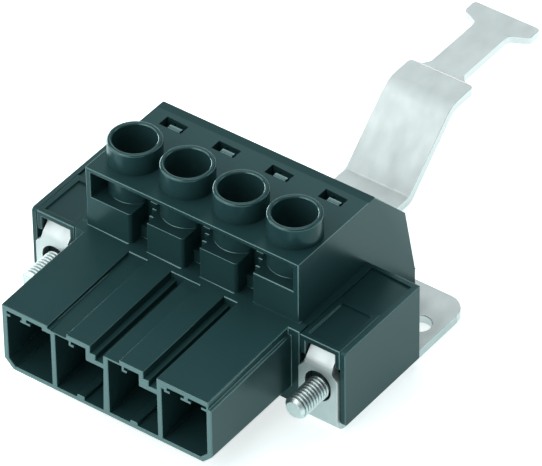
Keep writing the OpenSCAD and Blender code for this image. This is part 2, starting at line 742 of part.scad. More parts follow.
module shield_plate() {
    front = fold_r - insert_front + seam / 2;
    color(steel) {
        difference() {
            linear_extrude(sheet_t) polygon(rounded([[-plate_half, front, fold_r / 2], [plate_half, front, fold_r / 2],
                [plate_half, plate_back, plate_r], [-plate_half, plate_back, plate_r]]));
            for (side = [-1, 1]) translate([side * (plate_half - plate_hole_inset), plate_hole_y, -cut])
                cylinder(h = sheet_t + 2 * cut, d = plate_hole_d);
        }
        shield_tab(-1);
        shield_tab(1);
        shield_arm();
    }
}

// Moulded insert that fills the front of a flange tray, frames the tab and holds the captive screw
module flange_insert(side) {
    x0 = side > 0 ? tray_inner + seam / 2 : -tray_outer + seam / 2;
    x1 = x0 + tray_outer - tray_inner - seam;
    x = side_x(side);
    z0 = tray_floor + seam / 2;
    color(insert_plastic) difference() {
        union() {
            span([x0, -insert_front, z0], [x1, insert_back, flange_z]);
            span([x0, insert_back - cut, flange_z - insert_recess - insert_roof],
                [x1, tray_back - seam / 2, flange_z - insert_recess]);
            span([x0, -flange_front, flange_z - insert_bar], [x1, cut - insert_front, flange_z]);
            for (post = [x0, x1 - insert_post])
                span([post, -flange_front, tab_shoulder + frame_rise], [post + insert_post, cut - insert_front, flange_z]);
        }
        span([x0 + insert_post, -flange_front - cut, tab_shoulder - frame_sink],
            [x1 - insert_post, tongue_room - insert_front, flange_z - insert_bar]);
        span([x0 + insert_post / 3, -flange_front - cut, tab_shoulder - frame_sink / 2],
            [x1 - insert_post / 3, tongue_room - insert_front, tab_shoulder + frame_rise]);
        span([x0 + recess_rim, recess_rim - flange_front, flange_z - insert_recess],
            [x1 - recess_rim, insert_back - recess_rim, flange_z + cut]);
        span([x0 - cut, -flange_front - cut, z0 - cut],
            [x1 + cut, fold_r + seam - insert_front, tray_floor + fold_r + seam]);
        rod_y(x, screw_z, -flange_front - cut, insert_back + cut,
            screw_neck_d / 2 + running, screw_neck_d / 2 + running);
    }
}

// Captive flange screw: threaded end, thinner neck and slotted head behind the insert
module flange_screw(side) {
    x = side_x(side);
    r = screw_d / 2;
    head_y = insert_back + running;
    color(steel) difference() {
        union() {
            rod_y(x, screw_z, -screw_tip, screw_chamfer - screw_tip, r - screw_chamfer, r);
            rod_y(x, screw_z, screw_chamfer - screw_tip, -tab_front - running, r, r);
            rod_y(x, screw_z, -tab_front - running - cut, head_y + cut, screw_neck_d / 2, screw_neck_d / 2);
            rod_y(x, screw_z, head_y, head_y + screw_head_h, screw_head_d / 2, screw_head_d / 2);
        }
        span([x - driver_slot_w / 2, head_y + screw_head_h - driver_slot_deep, screw_z - screw_head_d],
            [x + driver_slot_w / 2, head_y + screw_head_h + cut, screw_z + screw_head_d]);
    }
}

// Contact: one straight bar, clamped in the chamber and bevelled to a blade in the socket
module contact(k) {
    x = pole_x(k);
    bevel = bar_t / 3;
    color(tin) along_x(x - bar_w / 2, x + bar_w / 2, [
        [contact_back, bar_under], [contact_back, bar_top], [blade_tip + 3 * bevel, bar_top],
        [blade_tip, bar_top - bevel], [blade_tip, bar_under + bevel], [blade_tip + 3 * bevel, bar_under]]);
}

// Clamping yoke: a steel frame around the bar whose threaded top the screw pulls up
module clamp_yoke(k) {
    x = pole_x(k);
    color(steel) difference() {
        span([x - yoke_w / 2, -yoke_l / 2, yoke_under], [x + yoke_w / 2, yoke_l / 2, yoke_crown]);
        span([x - yoke_w / 2 + yoke_side, -yoke_l / 2 - cut, yoke_seat],
            [x + yoke_w / 2 - yoke_side, yoke_l / 2 + cut, yoke_shoulder]);
        translate([x, 0, yoke_shoulder - cut]) cylinder(h = yoke_top + 2 * cut, r = clamp_d / 2 + running);
    }
}

// Clamp screw: slotted head in the chimney, tip on the contact bar
module clamp_screw(k) {
    seat = ledge_z + running;
    tip = bar_top + running;
    shank = tip + screw_chamfer;
    color(steel) translate([pole_x(k), 0, 0]) difference() {
        union() {
            translate([0, 0, tip]) cylinder(h = screw_chamfer, r1 = clamp_d / 2 - screw_chamfer, r2 = clamp_d / 2);
            translate([0, 0, shank]) cylinder(h = seat - shank + cut, r = clamp_d / 2);
            translate([0, 0, seat]) cylinder(h = clamp_head_h, r = clamp_head_d / 2);
        }
        span([-clamp_head_d, -driver_slot_w / 2, seat + clamp_head_h - driver_slot_deep],
            [clamp_head_d, driver_slot_w / 2, seat + clamp_head_h + cut]);
    }
}

housing();
wire_hood();
shield_plate();
flange_insert(-1);  // flange_insert_left
flange_insert(1);  // flange_insert_right
flange_screw(-1);  // flange_screw_left
flange_screw(1);  // flange_screw_right
contact(1);  // contact_1
contact(2);  // contact_2
contact(3);  // contact_3
contact(4);  // contact_4
clamp_yoke(1);  // clamp_yoke_1
clamp_yoke(2);  // clamp_yoke_2
clamp_yoke(3);  // clamp_yoke_3
clamp_yoke(4);  // clamp_yoke_4
clamp_screw(1);  // clamp_screw_1
clamp_screw(2);  // clamp_screw_2
clamp_screw(3);  // clamp_screw_3
clamp_screw(4);  // clamp_screw_4
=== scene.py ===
"""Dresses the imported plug-in power connector and sets it in a plain studio."""

import bmesh
import bpy
import numpy as np
from mathutils import Matrix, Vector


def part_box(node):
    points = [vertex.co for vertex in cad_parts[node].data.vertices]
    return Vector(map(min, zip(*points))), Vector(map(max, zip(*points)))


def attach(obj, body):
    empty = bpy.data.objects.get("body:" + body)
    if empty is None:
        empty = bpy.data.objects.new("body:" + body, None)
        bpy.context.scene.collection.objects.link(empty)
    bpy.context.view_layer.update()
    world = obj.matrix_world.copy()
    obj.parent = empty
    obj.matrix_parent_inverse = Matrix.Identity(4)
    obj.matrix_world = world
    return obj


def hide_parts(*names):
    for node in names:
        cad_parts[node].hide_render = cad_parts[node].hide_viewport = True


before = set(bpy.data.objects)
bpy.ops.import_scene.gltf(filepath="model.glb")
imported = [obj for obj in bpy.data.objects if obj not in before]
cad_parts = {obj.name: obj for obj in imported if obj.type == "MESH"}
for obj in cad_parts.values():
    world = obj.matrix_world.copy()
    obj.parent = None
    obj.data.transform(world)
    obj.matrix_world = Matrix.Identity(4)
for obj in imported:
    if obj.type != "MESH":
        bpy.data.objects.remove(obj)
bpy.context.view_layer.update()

# Housing: the body of the connector, one moulding of black glass-filled polyamide.
# Clamp blocks, chimneys, socket row and flange trays belong to it, and the mould gives
# every outer edge a small radius that catches the light.
MM = 0.001
POLYAMIDE_BODY = "#253F41"
POLYAMIDE_CLOUD = "#274244"
POLYAMIDE_GLOSS = "#A8F0F2"
POLISHED_GLOSS = "#D4FFFF"
POLYAMIDE_INDEX = 1.4
MOULD_CLOUD = 5 * MM
CLOUD_SWING = 0.015
# The spark-eroded grain is about 0.05 mm in reality and drawn four times as coarse to show.
MOULD_GRAIN = 0.2 * MM
MOULD_GRAIN_DEPTH = 0.006 * MM
MOULD_GRAIN_STRENGTH = 0.25
# Most values of a noise pattern lie between these two.
NOISE_LOW = 0.3
NOISE_HIGH = 0.7
# Sockets of a Mix node that blends colours.
MIX_FACTOR = 0
MIX_FIRST = 6
MIX_SECOND = 7
MIX_RESULT = 2


def linear(hex_colour):
    """sRGB hex to linear RGBA: c / 12.92 for dark channels, else ((c + 0.055) / 1.055) to the power 2.4."""
    srgb = np.array([int(hex_colour[i:i + 2], 16) for i in (1, 3, 5)]) / 255
    rgb = np.where(srgb <= 0.04045, srgb / 12.92, ((srgb + 0.055) / 1.055) ** 2.4)
    return (*rgb.tolist(), 1.0)


def add_node(tree, kind, settings=None, values=None, links=None):
    """Adds a shader node with its properties, its fixed sockets and the outputs that feed the others."""
    made = tree.nodes.new(kind)
    for name, value in (settings or {}).items():
        setattr(made, name, value)
    for socket, value in (values or {}).items():
        made.inputs[socket].default_value = value
    for socket, output in (links or {}).items():
        tree.links.new(output, made.inputs[socket])
    return made


def new_finish(name):
    """New material with its node tree, its shader and the object coordinates that its patterns read."""
    made = bpy.data.materials.new(name)
    made.use_nodes = True
    tree = made.node_tree
    place = add_node(tree, "ShaderNodeTexCoord").outputs["Object"]
    return made, tree, tree.nodes["Principled BSDF"], place


def lay_pattern(tree, shader, pattern, tones, roughness, relief):
    """Lets a noise pattern blend a pair of tones and a pair of roughnesses, and a grain raise a fine relief.

    The relief is the grain's output, the strength of its shading and its depth in metres.
    """
    grain, strength, depth = relief
    tone = add_node(tree, "ShaderNodeMix", settings={"data_type": "RGBA"},
                    values={MIX_FIRST: linear(tones[0]), MIX_SECOND: linear(tones[1])},
                    links={MIX_FACTOR: pattern}).outputs[MIX_RESULT]
    gloss = add_node(tree, "ShaderNodeMapRange",
                     values={"From Min": NOISE_LOW, "From Max": NOISE_HIGH,
                             "To Min": roughness[0], "To Max": roughness[1]},
                     links={"Value": pattern}).outputs[0]
    raised = add_node(tree, "ShaderNodeBump", values={"Strength": strength, "Distance": depth},
                      links={"Height": grain}).outputs[0]
    tree.links.new(tone, shader.inputs["Base Color"])
    tree.links.new(gloss, shader.inputs["Roughness"])
    tree.links.new(raised, shader.inputs["Normal"])


def moulded_polyamide(name, body, cloud, roughness, index=POLYAMIDE_INDEX, gloss_tint=POLYAMIDE_GLOSS):
    """Glass-filled polyamide from a spark-eroded mould: almost black, with faint clouds and fine grain."""
    made, tree, shader, place = new_finish(name)
    flow = add_node(tree, "ShaderNodeTexNoise", values={"Scale": 1 / MOULD_CLOUD, "Detail": 3.0},
                    links={"Vector": place}).outputs[0]
    grain = add_node(tree, "ShaderNodeTexNoise", values={"Scale": 1 / MOULD_GRAIN, "Detail": 1.0},
                     links={"Vector": place}).outputs[0]
    lay_pattern(tree, shader, flow, (body, cloud), (roughness - CLOUD_SWING, roughness + CLOUD_SWING),
                (grain, MOULD_GRAIN_STRENGTH, MOULD_GRAIN_DEPTH))
    shader.inputs["Specular Tint"].default_value = linear(gloss_tint)
    shader.inputs["IOR"].default_value = index
    return made


# The walls of the mould leave a satin black with a soft sheen. The chimney rims are smooth and show
# thin bright arcs, and the polished edges draw fine light lines around the dark faces.
black_polyamide = moulded_polyamide("black polyamide moulded satin", POLYAMIDE_BODY, POLYAMIDE_CLOUD,
                                    roughness=0.29)
polyamide_rim = moulded_polyamide("black polyamide smooth rim", POLYAMIDE_BODY, POLYAMIDE_CLOUD,
                                  roughness=0.15, index=1.8, gloss_tint=POLISHED_GLOSS)
polyamide_edge = moulded_polyamide("black polyamide polished edge", POLYAMIDE_BODY, POLYAMIDE_CLOUD,
                                   roughness=0.22, index=2.2, gloss_tint=POLISHED_GLOSS)

MOULD_EDGE = 0.15 * MM
ROUND_STEPS = 3
# Faces that turn less than the flat turn become one, and edges that turn more than the sharp turn are
# rounded. A run of edges goes on where it turns less than the run turn.
FLAT_TURN = np.radians(0.5)
SHARP_TURN = np.radians(35)
RUN_TURN = np.radians(50)
# A radius takes this part of the room beside its edge at most, and below the least share of the full
# radius the edge stays sharp.
ROOM_SHARE = 0.4
LEAST_SHARE = 0.3
# Corners this near are one corner. The other two are the slack of a corner on an edge, in metres and as
# a share of the edge's length.
MERGE_WITHIN = 0.001 * MM
TOUCHING = 1e-8
END_SLACK = 0.001


def edge_room(face):
    """Free width beside each edge of a flat face, in the order of its loops.

    For every corner and every edge that the corner is not an end of, the distance counts where the corner
    projects onto the edge. An edge's room is the least distance to it, or from its own two corners to other
    edges.
    """
    corner = np.array([loop.vert.co[:] for loop in face.loops])
    along = np.roll(corner, -1, axis=0) - corner
    offset = corner[:, None] - corner[None]
    share = (offset * along).sum(-1) / (along ** 2).sum(-1)
    apart = np.linalg.norm(offset - share[..., None] * along, axis=-1)
    beyond = (share < -END_SLACK) | (share > 1 + END_SLACK) | (apart < TOUCHING)
    own = np.arange(len(corner))
    apart[beyond] = np.inf
    apart[own, own] = np.inf
    apart[np.roll(own, -1), own] = np.inf
    of_corner = apart.min(axis=1)
    return np.minimum(apart.min(axis=0), np.minimum(of_corner, np.roll(of_corner, -1)))


def weigh_edges(form, edge, share):
    """Gives each sharp edge of a form its share of the full radius.

    The share is what the edge's middle, in millimetres, asks for, and its radius takes at most a set part
    of the room beside it. Shares are the same along each run of edges that goes on without a sharp corner,
    and edges that would get too little stay sharp.
    """
    weight = form.edges.layers.float.new("bevel_weight_edge")
    for line in form.edges:
        if len(line.link_faces) == 2 and line.calc_face_angle() > SHARP_TURN:
            middle = (line.verts[0].co + line.verts[1].co) / (2 * MM)
            line[weight] = share(middle) if share else 1.0
    for face in form.faces:
        for loop, room in zip(face.loops, edge_room(face)):
            loop.edge[weight] = min(loop.edge[weight], ROOM_SHARE * room / edge)
    run = {line: {line} for line in form.edges if line[weight] > LEAST_SHARE}
    for point in form.verts:
        ways = [(line, (line.other_vert(point).co - point.co).normalized())
                for line in point.link_edges if line in run]
        for line, way in ways:
            for other, other_way in ways:
                if way.dot(other_way) < -np.cos(RUN_TURN) and run[line] is not run[other]:
                    run[line] |= run[other]
                    for member in run[other]:
                        run[member] = run[line]
    even = {line: min(member[weight] for member in members) for line, members in run.items()}
    for line in form.edges:
        line[weight] = even.get(line, 0.0)


def corner_normals(mesh):
    """Shading normals of a mesh, one for each corner of each face.

    A corner's normal is the sum of the normals of those faces around its point that make no sharp turn with
    its own face, each times its area, so a large flat face keeps its normal up to the rounds beside it.
    """
    point = np.empty(len(mesh.loops), int)
    mesh.loops.foreach_get("vertex_index", point)
    normal = np.empty(3 * len(mesh.polygons))
    mesh.polygons.foreach_get("normal", normal)
    area = np.empty(len(mesh.polygons))
    mesh.polygons.foreach_get("area", area)
    sides = np.empty(len(mesh.polygons), int)
    mesh.polygons.foreach_get("loop_total", sides)
    of_face = np.repeat(np.arange(len(sides)), sides)
    normal = normal.reshape(-1, 3)[of_face]
    area = area[of_face]
    order = np.argsort(point, kind="stable")
    around = np.bincount(point, minlength=len(mesh.vertices))
    first = np.cumsum(around) - around
    rank = np.empty_like(point)
    rank[order] = np.arange(len(point)) - first[point[order]]
    total = np.zeros_like(normal)
    for step in range(around.max()):
        other = order[first[point] + (rank + step) % around[point]]
        near = (normal * normal[other]).sum(1) > np.cos(SHARP_TURN)
        total += (near * (step < around[point]) * area[other])[:, None] * normal[other]
    return total / np.linalg.norm(total, axis=1, keepdims=True)


def edged_copy(node_name, body, materials, edge, share=None):
    """Copy of a CAD node, its triangles joined into flat faces, with a small radius on its sharp edges.

    Corners that touch are merged, and faces that lie flat beside each other are joined. The last material
    lies on the rounds, and the first everywhere else.
    """
    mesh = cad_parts[node_name].data.copy()
    mesh.name = node_name + "_edged"
    form = bmesh.new()
    form.from_mesh(mesh)
    bmesh.ops.remove_doubles(form, verts=form.verts, dist=MERGE_WITHIN)
    bmesh.ops.dissolve_limit(form, angle_limit=FLAT_TURN, verts=form.verts, edges=form.edges)
    weigh_edges(form, edge, share)
    form.to_mesh(mesh)
    form.free()
    mesh.materials.clear()
    for material in materials:
        mesh.materials.append(material)
    piece = bpy.data.objects.new(node_name + "_edged", mesh)
    bpy.context.scene.collection.objects.link(piece)
    rounding = piece.modifiers.new("edge radius", "BEVEL")
    rounding.width = edge
    rounding.segments = ROUND_STEPS
    rounding.limit_method = "WEIGHT"
    rounding.use_clamp_overlap = False
    rounding.material = len(materials) - 1
    evaluated = piece.evaluated_get(bpy.context.evaluated_depsgraph_get())
    rounded = bpy.data.meshes.new_from_object(evaluated)
    piece.modifiers.remove(rounding)
    piece.data = rounded
    rounded.name = node_name + "_edged"
    rounded.shade_smooth()
    rounded.normals_split_custom_set(corner_normals(rounded).tolist())
    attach(piece, body)
    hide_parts(node_name)
    return piece


# Places on the housing, in millimetres in the part's own frame.
SEAM_Y = 9.1
SEAM_SLACK = 0.01
FRONT_Y = -21.1
DECK_Z = 21.1
DECK_SLACK = 0.05
BELOW_DECK_Z = 21
RIM_Z = 23.8
POLES_HALF = 14
CHIMNEY_HALF = 3.6
CHIMNEYS_HALF = 15.1
WINDOW_Y = (6.5, 8.15)
WINDOW_FLOOR_Z = 19
SLOT_Y = (-4.3, 0)
SLOT_Z = (12.6, 16.8)
TRAY_X = (16, 22.2)
TRAY_FLOOR_Z = 12
TRAY_BACK_Y = 8.3
ROW_BACK_Y = -4.66
ROW_BACK_Z = 12.45
ROW_LENGTH = 16.54
ROW_FALL = 0.6
GROOVE_Y = (FRONT_Y, -5.7)
GROOVE_DEPTH = (0.3, 1.9)
GROOVE_SIDE_Y = (-19, -8)
GROOVE_SIDE_DEPTH = 0.6
# Shares of the mould's edge radius that these places get.
GROOVE_TOP_SHARE = 0.35
GROOVE_SIDE_SHARE = 0.5
DECK_SHARE = 0.6
# Parts of a face's normal: on the slope of a rim, and square to a direction.
RIM_SLOPE = (0.15, 0.98)
SQUARE_ON = 0.9


def within(value, span):
    """Whether a value lies between the two ends of a span."""
    return span[0] < value < span[1]


def housing_round(middle):
    """Share of the mould's edge radius on the housing: none in seam, windows, slots, grooves and trays."""
    depth = ROW_BACK_Z + ROW_FALL * (middle.y - ROW_BACK_Y) / ROW_LENGTH - middle.z
    at_poles = abs(middle.x) < POLES_HALF
    if at_poles and within(middle.y, GROOVE_SIDE_Y) and depth < GROOVE_SIDE_DEPTH:
        return GROOVE_SIDE_SHARE if depth > GROOVE_DEPTH[0] else GROOVE_TOP_SHARE
    in_groove = at_poles and within(middle.y, GROOVE_Y) and within(depth, GROOVE_DEPTH)
    in_window = at_poles and within(middle.y, WINDOW_Y) and middle.z > WINDOW_FLOOR_Z
    in_slot = at_poles and within(middle.y, SLOT_Y) and within(middle.z, SLOT_Z)
    in_tray = within(abs(middle.x), TRAY_X) and middle.y < TRAY_BACK_Y and middle.z > TRAY_FLOOR_Z
    in_seam = abs(middle.y - SEAM_Y) < SEAM_SLACK and middle.z < BELOW_DECK_Z
    by_chimney = abs(middle.x) < CHIMNEYS_HALF and abs(middle.y) < CHIMNEY_HALF
    at_foot = by_chimney and abs(middle.z - DECK_Z) < DECK_SLACK
    if in_groove or in_window or in_slot or in_tray or in_seam or at_foot:
        return 0.0
    return DECK_SHARE if middle.z > BELOW_DECK_Z else 1.0


housing_finishes = [black_polyamide, polyamide_rim, polyamide_edge]
housing = edged_copy("housing", "connector", housing_finishes, MOULD_EDGE, housing_round)
for face in housing.data.polygons:
    on_rim = face.center.z > RIM_Z * MM and within(face.normal.z, RIM_SLOPE)
    on_front = face.center.y < FRONT_Y * MM and face.normal.y < -SQUARE_ON
    if on_rim or on_front:
        face.material_index = housing_finishes.index(polyamide_rim if on_rim else polyamide_edge)

# Contacts: straight bars of copper alloy, stamped and tinned, that run from the clamps
# through the housing wall and end as blades in the sockets.
POLES = (1, 2, 3, 4)
STAMPED_EDGE = 0.08 * MM
CONTACT_TIN = "#CFCBBB"
CONTACT_TIN_DULL = "#B3AE9E"
# Rolling streaks are about 0.03 mm wide in reality and drawn four times as wide to show.
ROLLING_GRAIN = (0.12 * MM, 5 * MM, 5 * MM)
STREAK_SWING = 0.04
STREAK_DEPTH = 0.003 * MM
STREAK_STRENGTH = 0.2


def plated_metal(name, bright, dull, roughness, grain_along=ROLLING_GRAIN):
    """Plated metal with a satin face: fine streaks along the working direction vary its tone and gloss."""
    made, tree, shader, place = new_finish(name)
    stretched = add_node(tree, "ShaderNodeMapping", values={"Scale": [1 / size for size in grain_along]},
                         links={"Vector": place}).outputs[0]
    streak = add_node(tree, "ShaderNodeTexNoise", values={"Scale": 1.0, "Detail": 2.0},
                      links={"Vector": stretched}).outputs[0]
    lay_pattern(tree, shader, streak, (dull, bright), (roughness + STREAK_SWING, roughness - STREAK_SWING),
                (streak, STREAK_STRENGTH, STREAK_DEPTH))
    shader.inputs["Metallic"].default_value = 1.0
    return made


# Tin over copper alloy is a pale, slightly warm metal with soft lines along the bar.
tinned_alloy = plated_metal("copper alloy tinned", CONTACT_TIN, CONTACT_TIN_DULL, roughness=0.34)
for pole in POLES:
    edged_copy(f"contact_{pole}", "connector", [tinned_alloy], STAMPED_EDGE)

# Clamping yokes: small frames of zinc-plated steel around the contact bars.
# Each is punched and formed from strip, and its tapped top rides on a clamp screw.
ZINC = "#DCE0E0"
ZINC_DULL = "#C6CCCC"
# Zinc on rolled strip is a cool, bright grey with a blurred shine.
zinc_strip = plated_metal("steel strip zinc plated", ZINC, ZINC_DULL, roughness=0.38)
for pole in POLES:
    edged_copy(f"clamp_yoke_{pole}", f"clamp_yoke_body_{pole}", [zinc_strip], STAMPED_EDGE)

# Clamp screws: slotted steel screws, cold headed and zinc plated, deep in the chimneys.
# Their heads rest on the ledge and their tips bear on the contact bars.
BARREL_GRAIN = (0.3 * MM, 0.3 * MM, 0.3 * MM)
# Screws are plated in a barrel, so the zinc has no direction, only fine patches of gloss.
zinc_screw = plated_metal("screw steel zinc plated", ZINC, ZINC_DULL, roughness=0.40,
                          grain_along=BARREL_GRAIN)
for pole in POLES:
    edged_copy(f"clamp_screw_{pole}", f"clamp_screw_body_{pole}", [zinc_screw],
               STAMPED_EDGE)

# Wire hood: a second black moulding that closes the back of the housing.
# It slides in from behind, its snap tongues catch in the deck windows, and its funnels lead the wires.
STRIP_Z = 20.9
HOOD_TOP_Z = 20.8
NOSE_BACK_Y = 8
FACING_UP = 0.3
# The strip behind the seam is duller than the roof, so the seam reads as a line between two blacks.
matt_polyamide = moulded_polyamide("black polyamide moulded matt", POLYAMIDE_BODY, POLYAMIDE_CLOUD,
                                   roughness=0.6, index=1.3)


def hood_round(middle):
    """Share of the mould's edge radius on the hood: none in the seam and between the strip and the roof."""
    in_seam = abs(middle.y - SEAM_Y) < SEAM_SLACK
    on_strip = middle.y > SEAM_Y and middle.z > STRIP_Z
    return 0.0 if in_seam or on_strip else 1.0


hood_finishes = [black_polyamide, matt_polyamide, polyamide_edge]
hood = edged_copy("wire_hood", "connector", hood_finishes, MOULD_EDGE, hood_round)
for face in hood.data.polygons:
    on_top = face.center.z > HOOD_TOP_Z * MM
    on_nose = on_top and face.center.y < NOSE_BACK_Y * MM and face.normal.z > FACING_UP
    on_strip = on_top and face.center.y > SEAM_Y * MM and face.normal.z > SQUARE_ON
    if on_nose or on_strip:
        face.material_index = hood_finishes.index(polyamide_edge if on_nose else matt_polyamide)

# Shield plate: one tinned steel sheet, punched and folded, that carries the housing.
# Its tabs stand in front of the flanges, and its cranked arm ends in a T for the cable's shield.
# Where the neck is coined thinner, the steel stands up in a low lip along the shoulder.
SHEET_EDGE = 0.1 * MM
SHEET_THICK = 1.2 * MM
ARM_FOOT_Y = 20 * MM
ARM_TOP = 9.44 * MM
COIN_Y = 45.68 * MM
LIP_HALF = 4.2 * MM
LIP_WIDE = 0.20 * MM
LIP_HIGH = 0.06 * MM
LIP_END = 0.999
UPRIGHT = 0.3
SHEET_TIN = "#D6D9D9"
SHEET_TIN_DULL = "#C6CACA"
SHEARED_STEEL = "#D9D5D5"
SHEET_CLOUD = (2 * MM, 3.5 * MM, 3.5 * MM)
# Tin leaves a satin face with faint clouds and broad, blurred lights. The sheared sides are smooth cuts
# that shine in narrower, brighter lines.
tinned_sheet = plated_metal("sheet steel tinned satin", SHEET_TIN, SHEET_TIN_DULL, roughness=0.52,
                            grain_along=SHEET_CLOUD)
sheared_edge = plated_metal("sheet steel sheared bright", SHEARED_STEEL, SHEARED_STEEL, roughness=0.25,
                            grain_along=SHEET_CLOUD)
sheet_finishes = [tinned_sheet, sheared_edge]
plate = edged_copy("shield_plate", "connector", sheet_finishes, SHEET_EDGE)
for face in plate.data.polygons:
    on_sheet_side = face.center.z < SHEET_THICK or face.center.y > ARM_FOOT_Y
    if on_sheet_side and abs(face.normal.z) < UPRIGHT:
        face.material_index = sheet_finishes.index(sheared_edge)


def closed_tube(name, grid, materials):
    """Object with the surface of a tube, from a grid of rings, closed by a centre point at each end."""
    rows, around = grid.shape[:2]
    ring = np.arange(rows * around).reshape(rows, around)
    ahead = np.roll(ring, -1, axis=1)
    quads = np.stack([ring[:-1], ring[1:], ahead[1:], ahead[:-1]], axis=-1).reshape(-1, 4)
    first = rows * around
    last = first + 1
    front = np.stack([np.full(around, first), ring[0], ahead[0]], axis=-1)
    back = np.stack([np.full(around, last), ahead[-1], ring[-1]], axis=-1)
    points = np.concatenate([grid.reshape(-1, 3), grid[0].mean(axis=0)[None], grid[-1].mean(axis=0)[None]])
    mesh = bpy.data.meshes.new(name)
    mesh.from_pydata(points.tolist(), [], quads.tolist() + front.tolist() + back.tolist())
    form = bmesh.new()
    form.from_mesh(mesh)
    bmesh.ops.recalc_face_normals(form, faces=form.faces)
    form.to_mesh(mesh)
    form.free()
    for face in mesh.polygons:
        face.use_smooth = len(face.vertices) == 4
    for material in materials:
        mesh.materials.append(material)
    piece = bpy.data.objects.new(name, mesh)
    bpy.context.scene.collection.objects.link(piece)
    return piece


def coined_lip(rows=48, around=16):
    """Points of the low lip that coining the neck pushes up along the shoulder, on a grid of rings along X.

    At u from -1 to 1 along the lip, each ring is an ellipse in Y and Z around the edge of the coined face.
    Both its half axes are multiplied by one less the eighth power of u, so that the lip thins out at its
    ends.
    """
    u = np.linspace(-LIP_END, LIP_END, rows)[:, None]
    a = np.linspace(0, 2 * np.pi, around, endpoint=False)[None, :]
    swell = 1 - u ** 8
    x = np.broadcast_to(LIP_HALF * u, (rows, around))
    y = COIN_Y + LIP_WIDE / 2 * swell * np.cos(a)
    z = ARM_TOP + LIP_HIGH * swell * np.sin(a)
    return np.stack([x, y, z], axis=-1)


lip = closed_tube("shield_plate_coined_lip", coined_lip(), [sheared_edge])
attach(lip, "connector")

# Flange inserts: black mouldings pressed into the front of the flange trays.
# They frame the upper ends of the tabs and hold the captive screws.
SIDES = ("left", "right")
INSERT_BODY = "#1E3537"
INSERT_CLOUD = "#20383A"
INSERT_FRONT_Y = -5.7
RECESS_BACK_Y = 0
RECESS_Z = 11.9
RECESS_SHARE = 0.5
# The inserts are the same satin black, one shade deeper than the housing around them.
insert_polyamide = moulded_polyamide("insert polyamide moulded satin", INSERT_BODY, INSERT_CLOUD,
                                     roughness=0.30)


def insert_round(middle):
    """Share of the mould's edge radius on an insert: all in front, half around the recess, none behind."""
    if middle.y < INSERT_FRONT_Y:
        return 1.0
    return RECESS_SHARE if middle.z > RECESS_Z and middle.y < RECESS_BACK_Y else 0.0


for side in SIDES:
    edged_copy(f"flange_insert_{side}", "connector", [insert_polyamide, polyamide_edge],
               MOULD_EDGE, insert_round)

# Flange screws: captive M3 screws of zinc-plated steel with a rolled thread on the free end.
# The neck behind the thread turns in the insert, and the slotted head lies in the tray behind it.
THREAD_R = 1.5 * MM
THREAD_PITCH = 0.5 * MM
THREAD_DEPTH = 0.27 * MM
THREAD_BACK = 0.7 * MM
CREST_SHARE = 0.12
FLANK_SHARE = 0.66
TIP_CHAMFER = 0.45 * MM
NECK_R = 1.15 * MM
SHANK_START = 0.3 * MM
CUT_WITHIN = 1e-7
ROOT_SHADE_FROM = 0.5 * THREAD_DEPTH
ROOT_PAINTED_SHADE = "#8FA0A0"
# Painted shade: the thread's roots get a darker zinc tone that stands in for the shade in the grooves, so
# the turns show as dark and light bands. Their roughness is also a little duller.
root_painted_shade = plated_metal("screw steel zinc painted root shade", ROOT_PAINTED_SHADE, ROOT_PAINTED_SHADE, roughness=0.45,
                         grain_along=BARREL_GRAIN)


def rolled_thread(centre_x, centre_z, tip_y, back_y, around=72, per_turn=14):
    """Points of a screw end along Y, on a grid of rows along the axis and columns around it.

    At distance s from the tip and angle a, the fractional part of s / pitch - a / 2 pi says where the point
    lies across one thread; the radius is the crest radius less a flat-bottomed groove there, never more
    than the tip's cone, and it runs out to the neck radius at the back end.
    """
    length = back_y - tip_y
    rows = int(length / THREAD_PITCH * per_turn)
    s = np.linspace(0, length, rows + 1)[:, None]
    a = np.linspace(0, 2 * np.pi, around, endpoint=False)[None, :]
    across = np.abs((s / THREAD_PITCH - a / (2 * np.pi)) % 1 - 0.5) * 2
    groove = np.clip((across - CREST_SHARE) / FLANK_SHARE, 0, 1)
    cone = THREAD_R - TIP_CHAMFER + s
    run_out = NECK_R + np.clip((length - s) / THREAD_PITCH, 0, 1) * (THREAD_R - NECK_R)
    radius = np.minimum(THREAD_R - THREAD_DEPTH * groove, np.minimum(cone, run_out))
    x = centre_x + radius * np.cos(a)
    y = np.broadcast_to(tip_y + s, radius.shape)
    z = centre_z + radius * np.sin(a)
    return np.stack([x, y, z], axis=-1)


tab_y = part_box("shield_plate")[0][1]
thread_finishes = [zinc_screw, root_painted_shade]
for side in SIDES:
    low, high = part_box(f"flange_screw_{side}")
    centre_x = (low[0] + high[0]) / 2
    centre_z = (low[2] + high[2]) / 2
    helix = rolled_thread(centre_x, centre_z, low[1], tab_y + THREAD_BACK)
    thread = closed_tube(f"flange_screw_{side}_thread", helix, thread_finishes)
    # Faces deep in the thread's roots, behind the tip's chamfer, take the darker tone of painted root shade.
    for face in thread.data.polygons:
        radius = np.hypot(face.center.x - centre_x, face.center.z - centre_z)
        behind_tip = face.center.y > low[1] + TIP_CHAMFER - ROOT_SHADE_FROM
        if behind_tip and radius < THREAD_R - ROOT_SHADE_FROM:
            face.material_index = thread_finishes.index(root_painted_shade)
    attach(thread, f"flange_screw_body_{side}")
    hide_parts(f"flange_screw_{side}")
    shank = edged_copy(f"flange_screw_{side}", f"flange_screw_body_{side}", [zinc_screw],
                       STAMPED_EDGE)
    # The CAD node's plain thread is cut off behind the tab's face, where the rolled one takes over.
    form = bmesh.new()
    form.from_mesh(shank.data)
    cut = bmesh.ops.bisect_plane(form, geom=form.verts[:] + form.edges[:] + form.faces[:], dist=CUT_WITHIN,
                                 plane_co=(0, tab_y + SHANK_START, 0), plane_no=(0, -1, 0), clear_outer=True)
    rim = [edge for edge in cut["geom_cut"] if isinstance(edge, bmesh.types.BMEdge)]
    bmesh.ops.contextual_create(form, geom=rim)
    form.to_mesh(shank.data)
    form.free()
    shank.data.normals_split_custom_set(corner_normals(shank.data).tolist())

